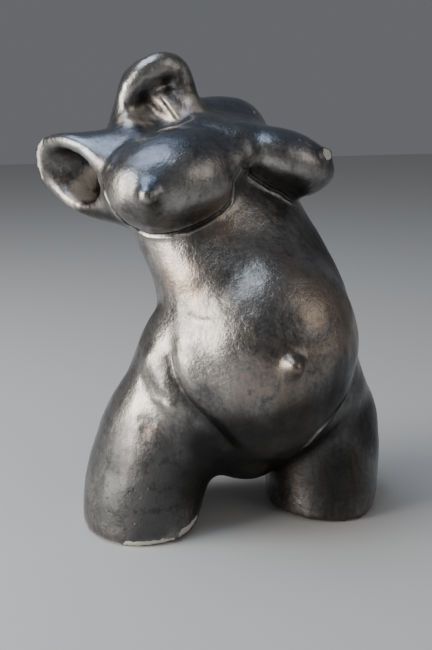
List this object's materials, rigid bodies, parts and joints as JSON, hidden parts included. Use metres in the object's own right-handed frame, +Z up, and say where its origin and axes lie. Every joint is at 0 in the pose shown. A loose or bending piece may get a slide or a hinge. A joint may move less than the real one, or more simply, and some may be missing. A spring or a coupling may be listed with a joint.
{
  "type": "female torso sculpture",
  "caption": "Hollow glazed clay sculpture of a pregnant female torso, without head, arms or lower legs, that stands on the cut ends of its thighs.",
  "frame": {"origin": "middle of the figure's bounding box, on the plane that its thigh rims stand on", "axes": "+Z up; the figure faces -Y; its own left side is at +X"},
  "size_m": [0.234, 0.1831, 0.3191],
  "materials": {
    "lustre_glaze": "dark metallic lustre glaze, burnished and mottled, satin to glossy"
  },
  "bodies": {
    "root": {"torso": "lustre_glaze"}
  },
  "joints": []
}
